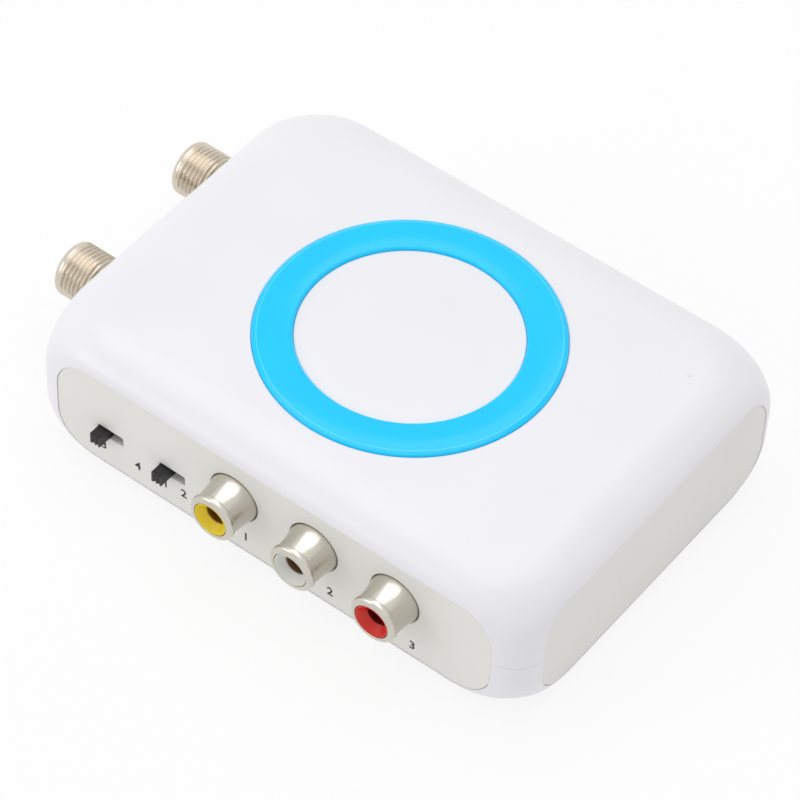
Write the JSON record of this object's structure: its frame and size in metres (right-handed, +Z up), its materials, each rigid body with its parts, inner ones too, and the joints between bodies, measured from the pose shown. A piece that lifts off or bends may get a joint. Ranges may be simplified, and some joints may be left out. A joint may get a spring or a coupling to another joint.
{
  "type": "rf modulator",
  "caption": "Small white box that turns picture and sound signals into a TV channel, with phono inputs, coax connectors, slide switches and a light ring on top.",
  "frame": {"origin": "centre of the flat underside, on the surface that the box stands on", "axes": "+X along the long sides, away from the coax connectors; the front with the phono jacks and the slide switches faces -Y; +Z is up"},
  "size_m": [0.1056, 0.0749, 0.0265],
  "materials": {
    "shell_white": "white ABS moulding, satin gloss",
    "panel_white": "white ABS plate, fine matt",
    "ring_blue": "translucent blue acrylic, polished",
    "board_green": "glass epoxy with green solder mask",
    "tinplate": "bright tinplate",
    "nickel": "nickel plate, satin",
    "contact_metal": "plated spring brass",
    "jack_yellow": "yellow moulding",
    "jack_white": "white moulding",
    "jack_red": "red moulding",
    "insulator_ivory": "ivory moulding",
    "phenolic_brown": "phenolic paper laminate",
    "plastic_black": "black moulding",
    "sleeve_dark": "dark shrink sleeve",
    "led_clear": "clear epoxy",
    "screw_zinc": "zinc plated",
    "screw_black": "black oxide"
  },
  "bodies": {
    "housing": {"top_shell": "shell_white", "bottom_shell": "shell_white", "front_panel": "panel_white", "right_panel": "panel_white", "rear_panel": "panel_white", "left_panel": "panel_white", "light_ring": "ring_blue", "circuit_board": "board_green", "shield_can": "tinplate", "shield_lid": "tinplate", "video_jack_sleeve": "nickel", "video_jack_body": "jack_yellow", "video_jack_contact": "contact_metal", "audio_left_jack_sleeve": "nickel", "audio_left_jack_body": "jack_white", "audio_left_jack_contact": "contact_metal", "audio_right_jack_sleeve": "nickel", "audio_right_jack_body": "jack_red", "audio_right_jack_contact": "contact_metal", "rf_out_barrel": "nickel", "rf_out_insulator": "insulator_ivory", "rf_out_contact": "contact_metal", "rf_in_barrel": "nickel", "rf_in_insulator": "insulator_ivory", "rf_in_contact": "contact_metal", "channel_switch_frame": "tinplate", "channel_switch_base": "phenolic_brown", "mode_switch_frame": "tinplate", "mode_switch_base": "phenolic_brown", "switch_terminals": "tinplate", "power_jack_body": "plastic_black", "power_jack_pin": "nickel", "power_jack_spring": "nickel", "ring_leds": "led_clear", "filter_capacitors": "sleeve_dark", "voltage_regulator": "plastic_black", "modulator_chip": "plastic_black", "tuning_coils": "tinplate", "crystal": "tinplate", "board_screws": "screw_zinc", "case_screws": "screw_black"},
    "channel_switch": {"channel_switch_knob": "plastic_black", "channel_switch_wiper": "contact_metal"},
    "mode_switch": {"mode_switch_knob": "plastic_black", "mode_switch_wiper": "contact_metal"}
  },
  "joints": [
    {"name": "channel_switch_slide", "type": "slide", "parent": "housing", "child": "channel_switch", "axis": [1, 0, 0], "range_m": [0, 0.0025]},
    {"name": "mode_switch_slide", "type": "slide", "parent": "housing", "child": "mode_switch", "axis": [1, 0, 0], "range_m": [0, 0.0025]}
  ]
}
